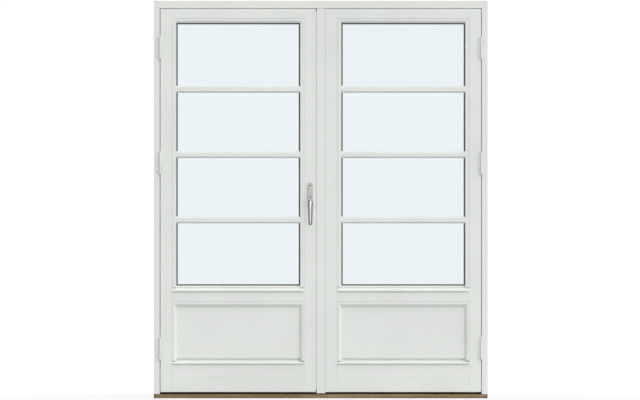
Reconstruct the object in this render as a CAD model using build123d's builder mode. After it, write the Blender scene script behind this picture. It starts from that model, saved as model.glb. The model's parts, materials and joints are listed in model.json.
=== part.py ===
"""A pair of outward-opening glazed french doors in their frame, built of separate pieces.

The width runs along X, the depth along Y and the height along Z. The origin is on the underside of the
sill, at the middle of its width and depth. The weather side faces -Y, and the leaves open towards it.
The left leaf is the active one, with the handle and the lock. The right leaf carries the false mullion
and its flush bolts. Lengths are millimetres.
"""

import os

from build123d import *

os.makedirs("parts", exist_ok=True)

# Frame
frame_width = 1780.0
frame_height = 2120.0
frame_depth = 115.0
jamb_face = 31.5
head_face = 39.5
stop_reach = 18.0
stop_ease = 3.0
sill_front = 22.0
sill_rise = 2.0
sill_nosing = 4.0
sill_corner = 6.0
sill_stop = 48.0
fixing_hole_r = 5.25
fixing_hole_low = 450.0
fixing_hole_pitch = 1250.0

# Gaps round the leaves
hinge_gap = 3.0
head_gap = 2.4
threshold_gap = 11.5
meeting_gap = 3.5
mullion_width = 46.5
mullion_head_gap = 0.8
mullion_sill_gap = 2.5

# Seals
seal_depth = 4.0
seal_width = 7.0
seal_stem = 3.0
seal_stem_depth = 6.0
seal_clear = 0.3
seal_fit = 0.1
mullion_seal_depth = 1.3
mullion_seal_width = 6.0
mullion_seal_setback = 44.5

# Leaf joinery
leaf_thick = 60.0
stile_flat = 64.0
top_flat = 52.0
mid_flat = 48.5
mid_rail_low = 516.5
bottom_flat = 146.5
bottom_joint = 74.5
joint_groove = 1.2
joint_gap = 0.4
meeting_rebate = 7.0
meeting_rebate_depth = 6.0
arris = 1.0
tenon_thick = 16.0
tenon_long = 40.0
tenon_shoulder = 10.0
glue_gap = 0.1

# Glazing
bead_width = 21.0
bead_bevel = 3.0
bead_depth = 14.0
bead_foot = 26.0
top_bead_width = 23.5
top_bead_bevel = 10.5
top_bead_fall = 9.0
lip_bevel = 7.5
sill_bead_height = 36.0
sill_bead_crest = 10.0
sill_bead_fall = 7.5
sill_bead_nose = 9.0
sill_bead_lip = 8.0
pane_thick = 4.0
spacer_thick = 16.0
spacer_width = 12.0
gasket_thick = 3.0
gasket_show = 7.5
unit_clear = 5.0
block_long = 100.0
block_shares = (0.2, 0.8)

# Glazing bars
bar_width = 37.0
bar_flat = 20.0
bar_pitch_share = 0.2486
bar_drop = 2.0
bar_count = 3
tape_width = 20.0
tape_end_gap = 1.0

# Lower panel
panel_bead_width = 23.0
panel_bead_bevel = 12.5
panel_bead_fall = 11.0
panel_bead_foot = 20.0
panel_top_width = 28.5
panel_top_bevel = 14.0
panel_sill_height = 24.5
panel_undercut = 11.0
panel_clear = 3.0
piece_gap = 0.3

# Hinges
hinge_low = 266.0
hinge_middle_share = 0.6166
hinge_top_drop = 250.0
hinge_length = 118.0
hinge_offset = 6.5
barrel_r = 6.0
barrel_ease = 1.5
hinge_pin_r = 3.0
hinge_pin_reach = 40.0
hinge_running_gap = 0.05
knuckle_gap = 0.6
wing_reach = 20.0
wing_thick = 2.5
wing_slant = 7.0
wing_drop = 3.0
wing_clear = 0.8

# Handle
handle_height = 1046.0
handle_backset = 30.0
plate_width = 26.0
plate_thick = 8.0
plate_above = 106.0
plate_below = 20.0
plate_ease = 2.0
lever_length = 112.0
lever_head_r = 13.0
lever_tip_r = 10.0
lever_thick = 12.0
lever_bevel = 8.0
lever_bevel_depth = 5.0
lever_ease = 3.0
neck_r = 9.0
neck_length = 30.0
neck_seat = 6.0
spindle_side = 8.0
spindle_grip = 18.0
spindle_fit = 0.1
running_gap = 0.06

# Lock
lock_setback = 27.5
case_height = 160.0
case_depth = 45.0
case_thick = 14.0
faceplate_width = 18.0
faceplate_thick = 2.5
faceplate_end_gap = 5.0
follower_r = 9.0
rod_r = 4.0
rod_grip = 24.0
rod_tip_inset = 0.5
deadbolt_thick = 8.0
deadbolt_height = 22.0
deadbolt_length = 36.0
deadbolt_drop = 32.0
deadbolt_throw = 14.0
rod_throw = 20.0

# Keepers and flush bolts
keeper_length = 52.0
keeper_hole_gap = 0.7
strike_height = 90.0
flush_plate_height = 120.0
flush_plate_inset = 150.0
flush_throw = 14.0
thumb_height = 16.0
thumb_rise = 24.0
pocket_spare = 2.0

overrun = 20.0

# Planes through the depth
y_front = -frame_depth / 2
y_rear = frame_depth / 2
y_back = y_front + leaf_thick
y_stop = y_back + seal_clear + seal_depth
y_bead = y_front + bead_depth
y_pane = y_bead + gasket_thick
y_cavity = y_pane + pane_thick
y_inner_pane = y_cavity + spacer_thick
y_unit_back = y_inner_pane + pane_thick
y_lip = y_unit_back + gasket_thick
y_lock = y_front + lock_setback
hinge_y = y_front - hinge_offset

# Places across the width
half_width = frame_width / 2
jamb_inner = half_width - jamb_face
stop_inner = jamb_inner - stop_reach
leaf_outer = jamb_inner - hinge_gap
meeting_edge = (mullion_width + meeting_gap) / 2
leaf_width = leaf_outer - meeting_edge
mullion_left = meeting_edge - mullion_width
hinge_x = leaf_outer + hinge_gap / 2
sight = stile_flat + bead_width
seal_x = (leaf_outer + stop_inner) / 2
handle_x = -meeting_edge - handle_backset
rod_x = -meeting_edge - faceplate_thick - piece_gap - rod_r
flush_x = mullion_left + faceplate_thick + piece_gap + rod_r
keeper_x = (rod_x + flush_x) / 2

# Heights
head_low = frame_height - head_face
head_stop_low = head_low - stop_reach
leaf_low = sill_front + threshold_gap
leaf_top = head_low - head_gap
bottom_shoulder = leaf_low + bottom_flat
mid_top = mid_rail_low + mid_flat
top_shoulder = leaf_top - top_flat
glass_low = mid_top + sill_bead_height
glass_top = top_shoulder - top_bead_width
tread_top = sill_front + sill_rise
mullion_low = tread_top + mullion_sill_gap
mullion_top = head_low - mullion_head_gap
bar_middle = (glass_low + glass_top) / 2 - bar_drop
bar_pitch = bar_pitch_share * (glass_top - glass_low)
hinge_top = frame_height - hinge_top_drop
hinge_heights = (hinge_low, hinge_low + hinge_middle_share * (hinge_top - hinge_low), hinge_top)
head_seal_z = (leaf_top + head_stop_low) / 2
sill_seal_z = (leaf_low + sill_stop) / 2
case_low = handle_height - case_height / 2
case_top = handle_height + case_height / 2
deadbolt_z = handle_height - deadbolt_drop

LEFT, RIGHT = -1, 1
SIDE_NAMES = {LEFT: "left", RIGHT: "right"}


def keep(shape, label):
    """Label a finished piece and write it to its own file."""
    shape.label = label
    export_step(shape, f"parts/{label}.step")


def group(pieces):
    """Several separate solids that share one name."""
    return Compound([solid for piece in pieces for solid in piece.part.solids()])


def leaf_x(side, u):
    """The x of a point that lies u in from a leaf's hinge edge."""
    return side * (leaf_outer - u)


def edge_x(side, meeting, u):
    """The x of a point that lies u in from a leaf's meeting edge or hinge edge."""
    return leaf_x(side, leaf_width - u) if meeting else leaf_x(side, u)


def upright(points, low, high):
    """A straight upright stick with this plan, from one height to another."""
    with BuildPart() as stick:
        with BuildSketch(Plane.XY.offset(low)):
            with BuildLine():
                Polyline(*points, close=True)
            make_face()
        extrude(amount=high - low)
    return stick


def level(points, start, end):
    """A straight level stick with this side profile, from one x to another."""
    with BuildPart() as stick:
        with BuildSketch(Plane.YZ.offset(start)):
            with BuildLine():
                Polyline(*points, close=True)
            make_face()
        extrude(amount=end - start)
    return stick


def slab(points, front, back):
    """A flat piece with this front outline, from its front face to its back face."""
    with BuildPart() as piece:
        with BuildSketch(Plane.XZ.offset(-back)):
            with BuildLine():
                Polyline(*points, close=True)
            make_face()
        extrude(amount=back - front)
    return piece


def block(low, high):
    """A square block between two opposite corners."""
    size = [b - a for a, b in zip(low, high)]
    middle = [(a + b) / 2 for a, b in zip(low, high)]
    with BuildPart() as piece:
        with BuildSketch(Plane.XY.offset(low[2])):
            with Locations((middle[0], middle[1])):
                Rectangle(size[0], size[1])
        extrude(amount=size[2])
    return piece


def ring(x_range, z_range, width, front, back):
    """A flat rectangular ring of even width."""
    size_x = x_range[1] - x_range[0]
    size_z = z_range[1] - z_range[0]
    with BuildPart() as piece:
        with BuildSketch(Plane.XZ.offset(-back)):
            with Locations((sum(x_range) / 2, sum(z_range) / 2)):
                Rectangle(size_x, size_z)
                Rectangle(size_x - 2 * width, size_z - 2 * width, mode=Mode.SUBTRACT)
        extrude(amount=back - front)
    return piece


def rod(x, y, low, high, radius):
    """A round upright rod."""
    with BuildPart() as piece:
        with BuildSketch(Plane.XY.offset(low)):
            with Locations((x, y)):
                Circle(radius)
        extrude(amount=high - low)
    return piece


def bore_x(start, end, y, z, radius):
    """A round bar or hole along the width."""
    with BuildPart() as piece:
        with BuildSketch(Plane.YZ.offset(start)):
            with Locations((y, z)):
                Circle(radius)
        extrude(amount=end - start)
    return piece


def bore_y(x, z, front, back, radius):
    """A round bar or hole along the depth."""
    with BuildPart() as piece:
        with BuildSketch(Plane.XZ.offset(-back)):
            with Locations((x, z)):
                Circle(radius)
        extrude(amount=back - front)
    return piece


# Frame members: the sill and the head run full width, and the jambs are coped between them
sill_profile = [
    (y_front, 0),
    (y_front, sill_front - sill_nosing),
    (y_front + sill_nosing, sill_front),
    (y_stop, tread_top),
    (y_stop, sill_stop - stop_ease),
    (y_stop + stop_ease, sill_stop),
    (y_rear - stop_ease, sill_stop),
    (y_rear, sill_stop - stop_ease),
    (y_rear, 0),
]
head_profile = [
    (y_front, frame_height),
    (y_front, head_low + arris),
    (y_front + arris, head_low),
    (y_stop, head_low),
    (y_stop, head_stop_low + stop_ease),
    (y_stop + stop_ease, head_stop_low),
    (y_rear, head_stop_low),
    (y_rear, frame_height),
]
seal_groove = seal_stem / 2 + seal_fit
groove_back = y_stop + seal_stem_depth + seal_fit


def groove_across(z):
    """The cut for a seal's stem along a level stop."""
    low = (-half_width - overrun, y_stop - seal_depth, z - seal_groove)
    return block(low, (half_width + overrun, groove_back, z + seal_groove))


def bolt_holes(low, high):
    """The two holes that the lock rod and the flush bolt enter."""
    return [rod(x, y_lock, low, high, rod_r + keeper_hole_gap) for x in (rod_x, flush_x)]


def keeper_plate(low, high, room):
    """A round-ended keeper, or its recess when it is given room."""
    with BuildPart() as plate:
        with BuildSketch(Plane.XY.offset(low)):
            with Locations((keeper_x, y_lock)):
                SlotOverall(keeper_length + 2 * room, faceplate_width + 2 * room)
        extrude(amount=high - low)
    return plate


tread_slope = sill_rise / (y_stop - y_front - sill_nosing)
sill_keeper_top = sill_front + tread_slope * (lock_setback - faceplate_width / 2 - sill_nosing)
sill_keeper_low = sill_keeper_top - faceplate_thick
bolt_pocket_low = leaf_low + rod_tip_inset - rod_throw - pocket_spare
flush_pocket_low = mullion_low + rod_tip_inset - flush_throw - pocket_spare
sill_pocket_low = min(bolt_pocket_low, flush_pocket_low)
head_pocket_top = max(leaf_top + rod_throw, mullion_top + flush_throw) + pocket_spare

sill = level(sill_profile, -half_width, half_width)
with sill:
    add(groove_across(sill_seal_z).part, mode=Mode.SUBTRACT)
    add(keeper_plate(sill_keeper_low, tread_top + overrun, glue_gap).part, mode=Mode.SUBTRACT)
    for hole in bolt_holes(sill_pocket_low, tread_top):
        add(hole.part, mode=Mode.SUBTRACT)
    for side in (LEFT, RIGHT):
        tip, start = side * half_width, side * (half_width - sill_corner)
        corner = upright([(tip, y_front), (start, y_front), (tip, y_front + sill_corner)], 0, tread_top)
        add(corner.part, mode=Mode.SUBTRACT)
keep(sill.part, "sill")

head = level(head_profile, -half_width, half_width)
with head:
    add(groove_across(head_seal_z).part, mode=Mode.SUBTRACT)
    add(keeper_plate(head_low - overrun, head_low + faceplate_thick, glue_gap).part, mode=Mode.SUBTRACT)
    for hole in bolt_holes(head_low, head_pocket_top):
        add(hole.part, mode=Mode.SUBTRACT)
keep(head.part, "head")

sill_keeper = keeper_plate(sill_keeper_low, sill_keeper_top, 0)
with sill_keeper:
    for hole in bolt_holes(sill_keeper_low, sill_keeper_top):
        add(hole.part, mode=Mode.SUBTRACT)
keep(sill_keeper.part, "sill_keeper")

head_keeper = keeper_plate(head_low, head_low + faceplate_thick, 0)
with head_keeper:
    for hole in bolt_holes(head_low, head_low + faceplate_thick):
        add(hole.part, mode=Mode.SUBTRACT)
keep(head_keeper.part, "head_keeper")


def jamb(side):
    """A side post with its stop, a groove for the seal and two fixing holes, coped to sill and head."""
    plan = [
        (half_width, y_front),
        (jamb_inner + arris, y_front),
        (jamb_inner, y_front + arris),
        (jamb_inner, y_stop),
        (seal_x + seal_groove, y_stop),
        (seal_x + seal_groove, groove_back),
        (seal_x - seal_groove, groove_back),
        (seal_x - seal_groove, y_stop),
        (stop_inner + stop_ease, y_stop),
        (stop_inner, y_stop + stop_ease),
        (stop_inner, y_rear),
        (half_width, y_rear),
    ]
    post = upright([(side * x, y) for x, y in plan], sill_front, frame_height)
    sill_cope = level(sill_profile, -half_width - overrun, half_width + overrun)
    head_cope = level(head_profile, -half_width - overrun, half_width + overrun)
    with post:
        add(sill_cope.part, mode=Mode.SUBTRACT)
        add(head_cope.part, mode=Mode.SUBTRACT)
        for z in (fixing_hole_low, fixing_hole_low + fixing_hole_pitch):
            hole = bore_x(side * half_width, side * jamb_inner, y_lock, z, fixing_hole_r)
            add(hole.part, mode=Mode.SUBTRACT)
    return post


for side in (LEFT, RIGHT):
    keep(jamb(side).part, f"jamb_{SIDE_NAMES[side]}")


def seal_strip(origin, along, across, length):
    """A rubber strip on the stop's face: a half-round bulb in front and a stem in the groove behind."""
    half, stem = seal_width / 2, seal_stem / 2
    with BuildPart() as strip:
        with BuildSketch(Plane(origin=origin, x_dir=across, z_dir=along)):
            with BuildLine():
                ThreePointArc((-half, 0), (0, seal_depth), (half, 0))
                Polyline(
                    (half, 0),
                    (stem, 0),
                    (stem, -seal_stem_depth),
                    (-stem, -seal_stem_depth),
                    (-stem, 0),
                    (-half, 0),
                )
            make_face()
        extrude(amount=length)
    return strip


seal_reach = seal_x + seal_width / 2
seal_low = sill_stop + seal_fit
seal_high = head_stop_low - seal_fit
rightward, upward = (1, 0, 0), (0, 0, 1)
frame_seal = []
for side in (LEFT, RIGHT):
    foot = (side * seal_x, y_stop, seal_low)
    frame_seal.append(seal_strip(foot, upward, (-1, 0, 0), seal_high - seal_low))
for z in (sill_seal_z, head_seal_z):
    frame_seal.append(seal_strip((-seal_reach, y_stop, z), rightward, upward, 2 * seal_reach))
keep(group(frame_seal), "frame_seal")


# Leaf joinery: stiles run the full height, and the rails are tenoned and coped between them
tenon_spans = (
    (bottom_shoulder - bottom_flat + tenon_shoulder, bottom_shoulder - tenon_shoulder),
    (mid_rail_low + tenon_shoulder, mid_top - tenon_shoulder),
    (top_shoulder + tenon_shoulder, leaf_top - tenon_shoulder),
)


def stile_plan(side, meeting):
    """A stile's section: rebated for the glazing, lipped behind, and grooved along the left meeting edge."""
    edge = [(0, y_front + arris), (arris, y_front)]
    if meeting and side == LEFT:
        floor = y_front + meeting_rebate_depth
        edge = [(0, floor), (meeting_rebate, floor), (meeting_rebate, y_front)]
    section = edge + [
        (stile_flat - arris, y_front),
        (stile_flat, y_front + arris),
        (stile_flat, y_lip),
        (sight, y_lip),
        (sight, y_back - lip_bevel),
        (sight - lip_bevel, y_back),
        (0, y_back),
    ]
    return [(edge_x(side, meeting, u), y) for u, y in section]


def tenon(side, meeting, span, room):
    """A tenon at one end of a rail, or its mortise when it is given room."""
    reach = stile_flat - tenon_long - room
    ends = sorted((edge_x(side, meeting, reach), edge_x(side, meeting, stile_flat)))
    half = tenon_thick / 2 + room
    return block((ends[0], y_lock - half, span[0] - room), (ends[1], y_lock + half, span[1] + room))


def stile(side, meeting):
    """A full-height stile at a leaf's meeting or hinge edge, mortised for the three rails."""
    post = upright(stile_plan(side, meeting), leaf_low, leaf_top)
    with post:
        for span in tenon_spans:
            add(tenon(side, meeting, span, glue_gap).part, mode=Mode.SUBTRACT)
    return post


def rail(side, profile, span):
    """A rail between the stiles: its ends are cut over the stiles' lips and carry tenons."""
    ends = sorted((leaf_x(side, stile_flat), leaf_x(side, leaf_width - stile_flat)))
    bar = level(profile, *ends)
    with bar:
        for meeting in (False, True):
            cope = upright(stile_plan(side, meeting), leaf_low - overrun, leaf_top + overrun)
            add(cope.part, mode=Mode.SUBTRACT)
            add(tenon(side, meeting, span, 0).part)
    return bar


joint_z = leaf_low + bottom_joint
bottom_lip = bottom_shoulder + bead_width
mid_lip = mid_rail_low - bead_width
bottom_profile = [
    (y_front + arris, leaf_low),
    (y_front, leaf_low + arris),
    (y_front, joint_z - joint_groove),
    (y_front + joint_groove, joint_z),
    (y_front, joint_z + joint_groove),
    (y_front, bottom_shoulder - arris),
    (y_front + arris, bottom_shoulder),
    (y_lip, bottom_shoulder),
    (y_lip, bottom_lip),
    (y_back - lip_bevel, bottom_lip),
    (y_back, bottom_lip - lip_bevel),
    (y_back, leaf_low),
]
mid_profile = [
    (y_front, mid_rail_low + arris),
    (y_front, mid_top - arris),
    (y_front + arris, mid_top),
    (y_lip, mid_top),
    (y_lip, glass_low),
    (y_back - lip_bevel, glass_low),
    (y_back, glass_low - lip_bevel),
    (y_back, mid_lip + lip_bevel),
    (y_back - lip_bevel, mid_lip),
    (y_lip, mid_lip),
    (y_lip, mid_rail_low),
    (y_front + arris, mid_rail_low),
]
top_profile = [
    (y_front + arris, leaf_top),
    (y_front, leaf_top - arris),
    (y_front, top_shoulder + arris),
    (y_front + arris, top_shoulder),
    (y_lip, top_shoulder),
    (y_lip, glass_top),
    (y_back - lip_bevel, glass_top),
    (y_back, glass_top + lip_bevel),
    (y_back, leaf_top),
]
rails = (("bottom_rail", bottom_profile), ("mid_rail", mid_profile), ("top_rail", top_profile))

# Beads: two upright ones and a mitred top one, standing on a projecting sloped bead
glass_sill_profile = [
    (y_front + arris, mid_top),
    (y_bead, mid_top),
    (y_bead, glass_low),
    (y_front + sill_bead_fall, glass_low - sill_bead_crest),
    (y_front - sill_bead_nose + arris, mid_top + sill_bead_lip + arris + arris),
    (y_front - sill_bead_nose, mid_top + sill_bead_lip + arris),
    (y_front - sill_bead_nose, mid_top + sill_bead_lip - arris),
    (y_front, mid_top + sill_bead_lip - arris - arris),
    (y_front, mid_top + arris),
]
panel_sill_top = bottom_shoulder + panel_sill_height
panel_step = y_bead + panel_undercut
panel_sill_profile = [
    (y_front + arris, bottom_shoulder),
    (panel_step - piece_gap, bottom_shoulder),
    (panel_step - piece_gap, panel_sill_top - piece_gap),
    (y_front - sill_bead_nose + arris, bottom_shoulder + sill_bead_lip),
    (y_front - sill_bead_nose, bottom_shoulder + sill_bead_lip - arris),
    (y_front - sill_bead_nose, bottom_shoulder + sill_bead_lip / 2 + arris),
    (y_front, bottom_shoulder + sill_bead_lip / 2),
    (y_front, bottom_shoulder + arris),
]


def bead_plan(side, meeting, width, bevel, fall):
    """An upright bead's section: a flat face and a bevel that falls towards the glass."""
    section = [
        (stile_flat + joint_gap, y_front + arris),
        (stile_flat + joint_gap + arris, y_front),
        (stile_flat + width - bevel, y_front),
        (stile_flat + width, y_front + fall),
        (stile_flat + width, y_bead),
        (stile_flat + joint_gap, y_bead),
    ]
    return [(edge_x(side, meeting, u), y) for u, y in section]


def bead_set(side, foot, high, uprights, top, sill_profile_points):
    """The four beads that hold a pane or a panel: each section is a width, a bevel and its fall."""
    width, top_width, top_bevel, top_fall = uprights[0], *top
    ends = sorted((leaf_x(side, stile_flat), leaf_x(side, leaf_width - stile_flat)))
    sill_bead = level(sill_profile_points, *ends)
    top_profile_points = [
        (y_front + arris, high - joint_gap),
        (y_front, high - joint_gap - arris),
        (y_front, high - top_width + top_bevel),
        (y_front + top_fall, high - top_width),
        (y_bead, high - top_width),
        (y_bead, high - joint_gap),
    ]
    top_bead = level(top_profile_points, *ends)
    beads = [sill_bead, top_bead]
    for meeting in (False, True):
        outer = edge_x(side, meeting, stile_flat)
        inner = edge_x(side, meeting, stile_flat + width)
        mitre = [(outer, high), (inner, high - top_width)]
        above = slab(mitre + [(inner, high)], y_front, y_bead)
        below = slab(mitre + [(outer, high - top_width)], y_front, y_bead)
        with top_bead:
            add(below.part, mode=Mode.SUBTRACT)
        post = upright(bead_plan(side, meeting, *uprights), foot, high)
        with post:
            add(above.part, mode=Mode.SUBTRACT)
            add(sill_bead.part, mode=Mode.SUBTRACT)
        beads.append(post)
    return beads


def bars(side, front):
    """Three level glazing bars stuck to one face of the glass, coped to the beads or the lips."""
    bar_edge = (bar_width - bar_flat) / 2
    start = sight - (bead_bevel if front else lip_bevel)
    ends = sorted((leaf_x(side, start), leaf_x(side, leaf_width - start)))
    foot, face = (y_bead, y_front) if front else (y_lip, y_lip + bead_depth)
    shoulder = face + (bar_edge if front else -bar_edge)
    sticks = []
    for index in range(bar_count):
        z = bar_middle + (index - (bar_count - 1) / 2) * bar_pitch
        profile = [
            (foot, z - bar_width / 2),
            (shoulder, z - bar_width / 2),
            (face, z - bar_flat / 2),
            (face, z + bar_flat / 2),
            (shoulder, z + bar_width / 2),
            (foot, z + bar_width / 2),
        ]
        stick = level(profile, *ends)
        with stick:
            for meeting in (False, True):
                plan = stile_plan(side, meeting)
                if front:
                    plan = bead_plan(side, meeting, bead_width, bead_bevel, bead_bevel)
                add(upright(plan, z - bar_width, z + bar_width).part, mode=Mode.SUBTRACT)
        sticks.append(stick)
    return sticks


def bar_tapes(side):
    """The strips that stick the bars to both faces of the glass."""
    start = sight + gasket_show + tape_end_gap
    ends = sorted((leaf_x(side, start), leaf_x(side, leaf_width - start)))
    strips = []
    for index in range(bar_count):
        z = bar_middle + (index - (bar_count - 1) / 2) * bar_pitch
        for front, back in ((y_bead, y_pane), (y_unit_back, y_lip)):
            low = (ends[0], front, z - tape_width / 2)
            strips.append(block(low, (ends[1], back, z + tape_width / 2)))
    return strips


unit_low = mid_top + unit_clear
unit_top = top_shoulder - unit_clear


def glass_unit(side, name):
    """A sealed unit of two panes on a spacer, bedded between two gaskets on setting blocks."""
    start = stile_flat + unit_clear
    x_range = sorted((leaf_x(side, start), leaf_x(side, leaf_width - start)))
    z_range = (unit_low, unit_top)
    panes = (("outer_pane", y_pane, y_cavity), ("inner_pane", y_inner_pane, y_unit_back))
    for label, front, back in panes:
        pane = block((x_range[0], front, unit_low), (x_range[1], back, unit_top))
        keep(pane.part, f"{name}_{label}")
    spacer = ring(x_range, z_range, spacer_width, y_cavity, y_inner_pane)
    keep(spacer.part, f"{name}_spacer")

    show_x = sorted((leaf_x(side, sight + gasket_show), leaf_x(side, leaf_width - sight - gasket_show)))
    show_low, show_top = glass_low + gasket_show, glass_top - gasket_show
    gaskets = []
    for front, back in ((y_bead, y_pane), (y_unit_back, y_lip)):
        gasket = block((x_range[0], front, unit_low), (x_range[1], back, unit_top))
        window = block((show_x[0], front - overrun, show_low), (show_x[1], back + overrun, show_top))
        with gasket:
            add(window.part, mode=Mode.SUBTRACT)
        gaskets.append(gasket)
    keep(group(gaskets), f"{name}_gaskets")

    blocks = []
    for share in block_shares:
        x = x_range[0] + (x_range[1] - x_range[0]) * share
        low = (x - block_long / 2, y_pane, mid_top)
        blocks.append(block(low, (x + block_long / 2, y_unit_back, unit_low)))
    keep(group(blocks), f"{name}_setting_blocks")


def panel(side):
    """The lower panel, with an undercut drip edge over its sloped bead."""
    start = stile_flat + panel_clear
    ends = sorted((leaf_x(side, start), leaf_x(side, leaf_width - start)))
    profile = [
        (y_bead, mid_rail_low - panel_clear),
        (y_bead, panel_sill_top + panel_undercut),
        (panel_step, panel_sill_top),
        (panel_step, bottom_shoulder),
        (y_lip, bottom_shoulder),
        (y_lip, mid_rail_low - panel_clear),
    ]
    return level(profile, *ends)


# Hinges: the frame half holds the pin, and the leaf half hangs on it
def hinge_half(side, centre, upper):
    """Half a barrel and the wing that is screwed to the leaf, or to the jamb for the lower half."""
    way = -side if upper else side
    up = 1 if upper else -1
    near, far = centre + up * knuckle_gap / 2, centre + up * hinge_length / 2
    wing_far = far - up * wing_drop
    wing_other = centre - up * (hinge_length / 2 - wing_drop)
    cut_x = side * hinge_x + way * (barrel_r + wing_clear)
    wing_x = side * hinge_x + way * wing_reach
    outline = [
        (side * hinge_x, near),
        (side * hinge_x, wing_far),
        (cut_x, wing_far),
        (wing_x, wing_far - up * wing_slant),
        (wing_x, wing_other + up * wing_slant),
        (cut_x, wing_other),
        (cut_x, near),
    ]
    bore_r = hinge_pin_r + (hinge_running_gap if upper else 0)
    bore_end = near + up * hinge_pin_reach
    wing = slab(outline, y_front - wing_thick, y_front)
    bore = rod(side * hinge_x, hinge_y, min(near, bore_end), max(near, bore_end), bore_r)
    with BuildPart() as half:
        with BuildSketch(Plane.XY.offset(min(near, far))):
            with Locations((side * hinge_x, hinge_y)):
                Circle(barrel_r)
        extrude(amount=abs(far - near))
        ends = half.edges().filter_by(GeomType.CIRCLE).sort_by(Axis.Z)
        fillet(ends[-1] if upper else ends[0], radius=barrel_ease)
        add(wing.part)
        add(bore.part, mode=Mode.SUBTRACT)
    return half


def hinge_pin(side, centre):
    """The pin that stands in the lower half and carries the upper one."""
    low = centre - knuckle_gap / 2 - hinge_pin_reach
    high = centre + knuckle_gap / 2 + hinge_pin_reach - piece_gap
    return rod(side * hinge_x, hinge_y, low, high, hinge_pin_r)


sides_and_heights = [(side, z) for side in (LEFT, RIGHT) for z in hinge_heights]
keep(group([hinge_half(side, z, False) for side, z in sides_and_heights]), "hinge_frame_halves")
keep(group([hinge_pin(side, z) for side, z in sides_and_heights]), "hinge_pins")


# Lock: a case and a full-height faceplate in the left leaf's meeting edge, with a rod each way and a bolt
def edge_block(face_x, way, depth, width, low, high):
    """A block let into an upright edge at face_x, going the given way, on the lock's centre line."""
    ends = sorted((face_x, face_x + way * depth))
    return block((ends[0], y_lock - width / 2, low), (ends[1], y_lock + width / 2, high))


def edge_plate(face_x, way, low, high, room):
    """A round-ended plate let into an upright edge, or its recess when it is given room."""
    with BuildPart() as plate:
        with BuildSketch(Plane.YZ.offset(face_x)):
            with Locations((y_lock, (low + high) / 2)):
                SlotOverall(high - low + 2 * room, faceplate_width + 2 * room, rotation=90)
        extrude(amount=way * faceplate_thick)
    return plate


lock_edge = -meeting_edge
bolt_room = 2 * piece_gap
bolt_back = lock_edge - rod_tip_inset - deadbolt_length
bolt_low = deadbolt_z - deadbolt_height / 2
bolt_top = deadbolt_z + deadbolt_height / 2
groove_width = 2 * (rod_r + piece_gap)
groove_depth = faceplate_thick + groove_width
plate_low = leaf_low + faceplate_end_gap
plate_top = leaf_top - faceplate_end_gap


def bolt_slot(depth):
    """The room that the deadbolt slides in, from the leaf's edge inwards."""
    ends = (bolt_low - piece_gap, bolt_top + piece_gap)
    return edge_block(lock_edge, LEFT, depth, deadbolt_thick + bolt_room, *ends)


def rod_slots():
    """The room inside the case for the inner ends of both rods."""
    spans = ((case_low, case_low + rod_grip + piece_gap), (case_top - rod_grip - piece_gap, case_top))
    return [rod(rod_x, y_lock, low, high, rod_r + piece_gap) for low, high in spans]


rod_groove = edge_block(lock_edge, LEFT, groove_depth, groove_width, leaf_low, leaf_top)
plate_recess = edge_plate(lock_edge, LEFT, plate_low, plate_top, glue_gap)
case_mortise = edge_block(
    lock_edge,
    LEFT,
    faceplate_thick + case_depth + glue_gap,
    case_thick + 2 * glue_gap,
    case_low - glue_gap,
    case_top + glue_gap,
)
spindle_hole = bore_y(handle_x, handle_height, y_front, y_back, follower_r)
lock_stile = stile(LEFT, True)
with lock_stile:
    for room in (rod_groove, plate_recess, case_mortise, spindle_hole):
        add(room.part, mode=Mode.SUBTRACT)
keep(lock_stile.part, "left_lock_stile")

lock_case = edge_block(lock_edge - faceplate_thick, LEFT, case_depth, case_thick, case_low, case_top)
with lock_case:
    add(bolt_slot(rod_tip_inset + deadbolt_length + piece_gap).part, mode=Mode.SUBTRACT)
    for slot in rod_slots():
        add(slot.part, mode=Mode.SUBTRACT)
    case_faces = (y_lock - case_thick, y_lock + case_thick)
    bearing = bore_y(handle_x, handle_height, *case_faces, follower_r + running_gap)
    add(bearing.part, mode=Mode.SUBTRACT)
keep(lock_case.part, "lock_case")

lock_faceplate = edge_plate(lock_edge, LEFT, plate_low, plate_top, 0)
with lock_faceplate:
    add(bolt_slot(faceplate_thick).part, mode=Mode.SUBTRACT)
keep(lock_faceplate.part, "lock_faceplate")

deadbolt = edge_block(bolt_back, RIGHT, deadbolt_length, deadbolt_thick, bolt_low, bolt_top)
keep(deadbolt.part, "deadbolt")
keep(rod(rod_x, y_lock, case_top - rod_grip, leaf_top - rod_tip_inset, rod_r).part, "upper_rod")
keep(rod(rod_x, y_lock, leaf_low + rod_tip_inset, case_low + rod_grip, rod_r).part, "lower_rod")


# Handle: a lever each side on a square spindle, which turns the follower in the lock case
def square_bar(front, back, side_length):
    """A square bar along the depth on the handle's axis."""
    with BuildPart() as bar:
        with BuildSketch(Plane.XZ.offset(-back)):
            with Locations((handle_x, handle_height)):
                Rectangle(side_length, side_length)
        extrude(amount=back - front)
    return bar


def backplate(face, way):
    """A round-ended plate on one face of the leaf, with a bearing for the lever's neck."""
    plate_r = plate_width / 2
    with BuildPart() as plate:
        with BuildSketch(Plane.XZ.offset(-face)):
            with Locations((handle_x, handle_height + plate_above - plate_r)):
                Circle(plate_r)
            with Locations((handle_x, handle_height - plate_below + plate_r)):
                Circle(plate_r)
            make_hull()
            with Locations((handle_x, handle_height)):
                Circle(neck_r + running_gap, mode=Mode.SUBTRACT)
        extrude(amount=-way * plate_thick)
        outer_faces = plate.faces().filter_by(Plane.XZ).sort_by(Axis.Y)
        rim = outer_faces[0 if way < 0 else -1].outer_wire().edges()
        fillet(rim, radius=plate_ease)
    return plate


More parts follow.
